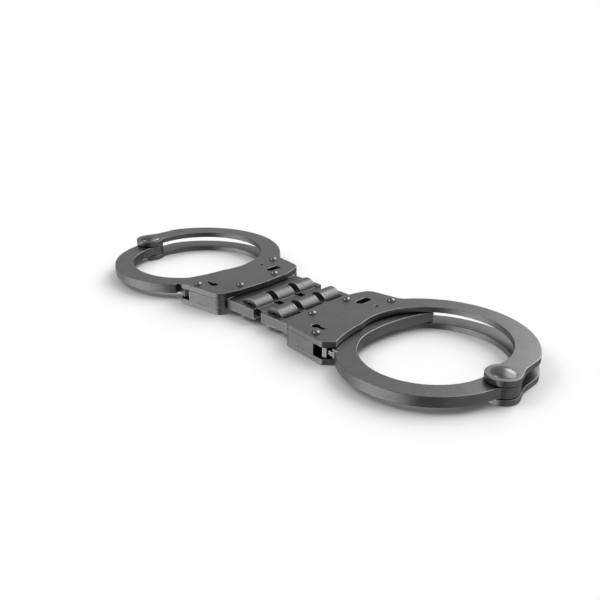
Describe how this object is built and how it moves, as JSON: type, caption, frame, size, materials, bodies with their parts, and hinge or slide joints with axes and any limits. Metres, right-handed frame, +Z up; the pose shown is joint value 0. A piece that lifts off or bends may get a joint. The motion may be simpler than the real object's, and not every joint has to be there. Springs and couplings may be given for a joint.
{
  "type": "hinged handcuffs",
  "caption": "Dark steel handcuffs joined by a flat double-axis hinge, each with a swinging toothed strand, a riveted lock housing, a keyhole and a fixed double bow.",
  "frame": {"origin": "centre of the box on the plane the pair rests on, midway between the two hinge pins", "axes": "+X along the pair from one cuff to the other, +Y from the swinging strands towards the fixed double bows, +Z up from the table"},
  "size_m": [0.2128, 0.0762, 0.0108],
  "materials": {
    "cheek": "dark gunmetal satin",
    "strand": "dark gunmetal satin",
    "core": "dark satin",
    "knuckle": "brushed bright steel",
    "leaf": "dark gunmetal satin",
    "rivet": "polished",
    "pivot": "dark satin",
    "lock_work": "plain steel"
  },
  "bodies": {
    "left_frame": {"left_top_cheek": "cheek", "left_bottom_cheek": "cheek", "left_lock_core": "core", "left_pivot_rivet": "pivot", "left_cheek_rivets": "rivet", "left_pawl_pin": "lock_work", "left_pawl_spring": "lock_work", "left_spring_pin": "lock_work", "left_key_post": "lock_work", "left_hinge_leaf": "leaf"},
    "left_bow": {"left_strand": "strand"},
    "left_catch": {"left_pawl": "lock_work"},
    "left_bar": {"left_double_lock_bar": "lock_work"},
    "right_frame": {"right_top_cheek": "cheek", "right_bottom_cheek": "cheek", "right_lock_core": "core", "right_pivot_rivet": "pivot", "right_cheek_rivets": "rivet", "right_pawl_pin": "lock_work", "right_pawl_spring": "lock_work", "right_spring_pin": "lock_work", "right_key_post": "lock_work", "right_hinge_leaf": "leaf"},
    "right_bow": {"right_strand": "strand"},
    "right_catch": {"right_pawl": "lock_work"},
    "right_bar": {"right_double_lock_bar": "lock_work"},
    "hinge": {"front_hinge_link": "knuckle", "middle_hinge_link": "knuckle", "back_hinge_link": "knuckle", "left_hinge_pin": "rivet", "right_hinge_pin": "rivet"}
  },
  "joints": [
    {"name": "left_strand_swing", "type": "hinge", "parent": "left_frame", "child": "left_bow", "pos_m": [-0.1, -0.00435, 0.0047], "axis": [0, 0, -1], "range_deg": [-9.6, 120]},
    {"name": "left_pawl_rock", "type": "hinge", "parent": "left_frame", "child": "left_catch", "pos_m": [-0.0338, -0.00085, 0.0047], "axis": [0, 0, -1], "range_deg": [-2.5, 2], "stiffness_Nm_per_rad": 0.5},
    {"name": "left_double_lock_slide", "type": "slide", "parent": "left_frame", "child": "left_bar", "axis": [0, -1, 0], "range_m": [0, 0.003]},
    {"name": "right_strand_swing", "type": "hinge", "parent": "right_frame", "child": "right_bow", "pos_m": [0.1, -0.00435, 0.0047], "axis": [0, 0, 1], "range_deg": [-9.6, 120]},
    {"name": "right_pawl_rock", "type": "hinge", "parent": "right_frame", "child": "right_catch", "pos_m": [0.0338, -0.00085, 0.0047], "axis": [0, 0, 1], "range_deg": [-2.5, 2], "stiffness_Nm_per_rad": 0.5},
    {"name": "right_double_lock_slide", "type": "slide", "parent": "right_frame", "child": "right_bar", "axis": [0, -1, 0], "range_m": [0, 0.003]},
    {"name": "left_hinge_fold", "type": "hinge", "parent": "left_frame", "child": "hinge", "pos_m": [-0.0072, -0.00435, 0.0047], "axis": [0, -1, 0], "range_deg": [-90, 90]},
    {"name": "right_hinge_fold", "type": "hinge", "parent": "hinge", "child": "right_frame", "pos_m": [0.0072, -0.00435, 0.0047], "axis": [0, -1, 0], "range_deg": [-90, 90]}
  ]
}
